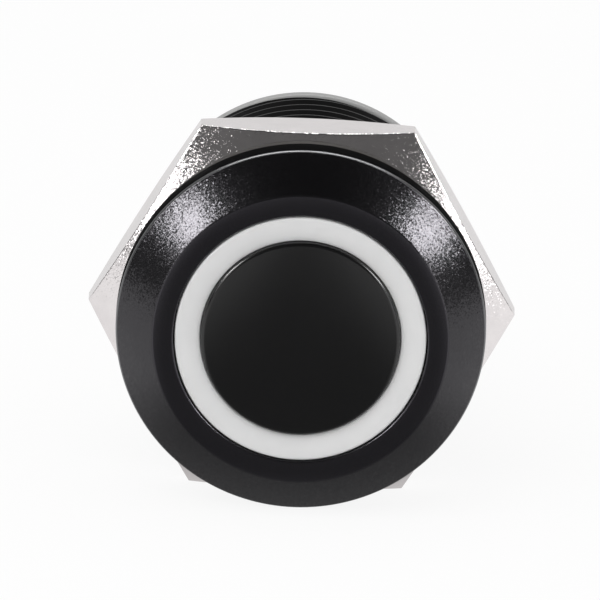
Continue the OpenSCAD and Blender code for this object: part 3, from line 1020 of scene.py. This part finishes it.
def mirrored_glow(tree):
    """Floor's glow in reflections: dim painted shade before and under the head, else nearly white."""
    place = node(tree, "ShaderNodeTexCoord")
    axes = node(tree, "ShaderNodeSeparateXYZ")
    aside = node(tree, "ShaderNodeMath", operation="ABSOLUTE")
    clear = node(tree, "ShaderNodeMath", operation="MAXIMUM")
    glow = node(tree, "ShaderNodeMix", data_type="FLOAT")
    tree.links.new(place.outputs["Object"], axes.inputs[0])
    tree.links.new(axes.outputs["X"], aside.inputs[0])
    tree.links.new(ramp(tree, aside.outputs[0], *GLOW_SIDEWAYS), clear.inputs[0])
    tree.links.new(ramp(tree, axes.outputs["Y"], *GLOW_REARWARDS), clear.inputs[1])
    tree.links.new(clear.outputs[0], glow.inputs["Factor"])
    # Painted shade: the dim glow before and under the head stands in for the switch's shadow on the
    # floor
    tree.links.new(ramp(tree, axes.outputs["Y"], *GLOW_PAINTED_SHADE), glow.inputs["A"])
    tree.links.new(ramp(tree, axes.outputs["Y"], *GLOW_BRIGHT), glow.inputs["B"])
    return glow.outputs["Result"]


def backdrop_material(rgba):
    """Pale floor that keeps faint shadows: nearly white to the camera, a glow in reflections."""
    material = bpy.data.materials.new("pale_floor")
    material.use_nodes = True
    tree = material.node_tree
    surface = tree.nodes["Principled BSDF"]
    surface.inputs["Base Color"].default_value = rgba
    surface.inputs["Roughness"].default_value = 0.9
    surface.inputs["Specular IOR Level"].default_value = 0.0
    glow = node(tree, "ShaderNodeEmission", {"Color": (1, 1, 1, 1), "Strength": 1.0})
    path = node(tree, "ShaderNodeLightPath")
    strength = node(tree, "ShaderNodeMix", {"A": 1.0}, data_type="FLOAT")
    camera = node(tree, "ShaderNodeMath", {1: FLOOR_WHITE}, operation="MULTIPLY")
    share = node(tree, "ShaderNodeMath", operation="MAXIMUM")
    mix = node(tree, "ShaderNodeMixShader")
    tree.links.new(path.outputs["Is Camera Ray"], camera.inputs[0])
    tree.links.new(path.outputs["Is Glossy Ray"], strength.inputs["Factor"])
    tree.links.new(mirrored_glow(tree), strength.inputs["B"])
    tree.links.new(strength.outputs["Result"], glow.inputs["Strength"])
    tree.links.new(camera.outputs[0], share.inputs[0])
    tree.links.new(path.outputs["Is Glossy Ray"], share.inputs[1])
    tree.links.new(share.outputs[0], mix.inputs["Fac"])
    tree.links.new(surface.outputs[0], mix.inputs[1])
    tree.links.new(glow.outputs[0], mix.inputs[2])
    tree.links.new(mix.outputs[0], tree.nodes["Material Output"].inputs["Surface"])
    return material


def room_light(settings):
    """Even room light, white to the camera, and dim in reflections, most of all overhead."""
    world = bpy.data.worlds.new("room")
    bpy.context.scene.world = world
    world.use_nodes = True
    tree = world.node_tree
    tree.nodes["Background"].inputs["Color"].default_value = (1, 1, 1, 1)
    tree.nodes["Background"].inputs["Strength"].default_value = settings.ambient
    white = node(tree, "ShaderNodeBackground", {"Color": (1, 1, 1, 1), "Strength": 1.0})
    dim = node(tree, "ShaderNodeBackground", {"Color": (1, 1, 1, 1)})
    place = node(tree, "ShaderNodeTexCoord")
    axes = node(tree, "ShaderNodeSeparateXYZ")
    tree.links.new(place.outputs["Generated"], axes.inputs[0])
    tree.links.new(ramp(tree, axes.outputs["Z"], *ROOM_GLOW), dim.inputs["Strength"])
    path = node(tree, "ShaderNodeLightPath")
    shine = node(tree, "ShaderNodeMixShader")
    seen = node(tree, "ShaderNodeMixShader")
    tree.links.new(path.outputs["Is Glossy Ray"], shine.inputs["Fac"])
    tree.links.new(tree.nodes["Background"].outputs[0], shine.inputs[1])
    tree.links.new(dim.outputs[0], shine.inputs[2])
    tree.links.new(path.outputs["Is Camera Ray"], seen.inputs["Fac"])
    tree.links.new(shine.outputs[0], seen.inputs[1])
    tree.links.new(white.outputs[0], seen.inputs[2])
    tree.links.new(seen.outputs[0], tree.nodes["World Output"].inputs["Surface"])


class PUSHBUTTON_OT_stage(bpy.types.Operator):
    """Sets the floor, the lights and the camera"""

    bl_idname = "pushbutton.stage"
    bl_label = "Stage"

    def execute(self, context):
        settings = context.scene.pushbutton_stage
        self.floor()
        room_light(settings)
        for lamp in LAMPS:
            softbox(settings, *lamp).visible_diffuse = False
        softbox(settings, *FILL).visible_glossy = False
        self.camera(context, settings)
        context.scene.view_settings.view_transform = "Standard"
        return {"FINISHED"}

    def floor(self):
        """A floor that turns up into a backdrop behind the switch."""
        bm = bmesh.new()
        bmesh.ops.create_grid(bm, x_segments=1, y_segments=1, size=FLOOR_HALF)
        back = [edge for edge in bm.edges if all(vert.co.y > 0 for vert in edge.verts)]
        raised = bmesh.ops.extrude_edge_only(bm, edges=back)["geom"]
        top = [item for item in raised if isinstance(item, bmesh.types.BMVert)]
        bmesh.ops.translate(bm, vec=(0, 0, BACKDROP_HEIGHT), verts=top)
        low = BACKDROP_HEIGHT / 2
        bend = [
            edge for edge in bm.edges if all(v.co.y > 0 and v.co.z < low for v in edge.verts)
        ]
        round_edges(bm, bend, BEND_R, BEND_SEGMENTS)
        bmesh.ops.translate(bm, vec=(0, 0, CAD_BOX[0].z - FLOOR_GAP), verts=bm.verts)
        bmesh.ops.recalc_face_normals(bm, faces=bm.faces)
        mesh = bpy.data.meshes.new("floor")
        bm.to_mesh(mesh)
        bm.free()
        mesh.materials.append(backdrop_material(tone("backdrop")))
        piece = bpy.data.objects.new("floor", mesh)
        bpy.context.scene.collection.objects.link(piece)

    def camera(self, context, settings):
        """The view from the front and a little above."""
        lens = bpy.data.cameras.new("camera")
        lens.lens = settings.focal
        lens.sensor_width = SENSOR_WIDTH
        lens.clip_start = NEAREST
        back = Vector((0, -math.cos(settings.elevation), math.sin(settings.elevation)))
        up = Vector((0, math.sin(settings.elevation), math.cos(settings.elevation)))
        holder = bpy.data.objects.new("camera", lens)
        aim = Vector((settings.aside, -mm("side_h") * MM, 0)) + up * settings.rise
        level = (-back).to_track_quat("-Z", "Y").to_matrix().to_4x4()
        turn = level @ Matrix.Rotation(settings.roll, 4, "Z")
        holder.matrix_world = Matrix.Translation(aim + back * settings.distance) @ turn
        context.scene.collection.objects.link(holder)
        context.scene.camera = holder


class PUSHBUTTON_PT_panel(bpy.types.Panel):
    """Lists the pieces that can be built"""

    bl_label = "Pushbutton"
    bl_idname = "PUSHBUTTON_PT_panel"
    bl_space_type = "VIEW_3D"
    bl_region_type = "UI"
    bl_category = "Pushbutton"

    def draw(self, context):
        for operator in OPERATORS:
            self.layout.operator(operator.bl_idname)


OPERATORS = (
    PUSHBUTTON_OT_bezel,
    PUSHBUTTON_OT_seal,
    PUSHBUTTON_OT_nut,
    PUSHBUTTON_OT_button,
    PUSHBUTTON_OT_rear,
    PUSHBUTTON_OT_inside,
    PUSHBUTTON_OT_stage,
)
SETTINGS = (
    ("pushbutton_sizes", PushbuttonSizes),
    ("pushbutton_colours", PushbuttonColours),
    ("pushbutton_stage", PushbuttonStage),
)


def register():
    """Makes the settings, operators and panel known."""
    for name, group in SETTINGS:
        bpy.utils.register_class(group)
        setattr(bpy.types.Scene, name, PointerProperty(type=group))
    for kind in (*OPERATORS, PUSHBUTTON_PT_panel):
        bpy.utils.register_class(kind)


def unregister():
    """Takes them away again."""
    for kind in reversed((*OPERATORS, PUSHBUTTON_PT_panel)):
        bpy.utils.unregister_class(kind)
    for name, group in reversed(SETTINGS):
        delattr(bpy.types.Scene, name)
        bpy.utils.unregister_class(group)


def main():
    """Builds every piece."""
    register()
    for operator in OPERATORS:
        group, name = operator.bl_idname.split(".")
        getattr(getattr(bpy.ops, group), name)()


if __name__ == "__main__":
    main()
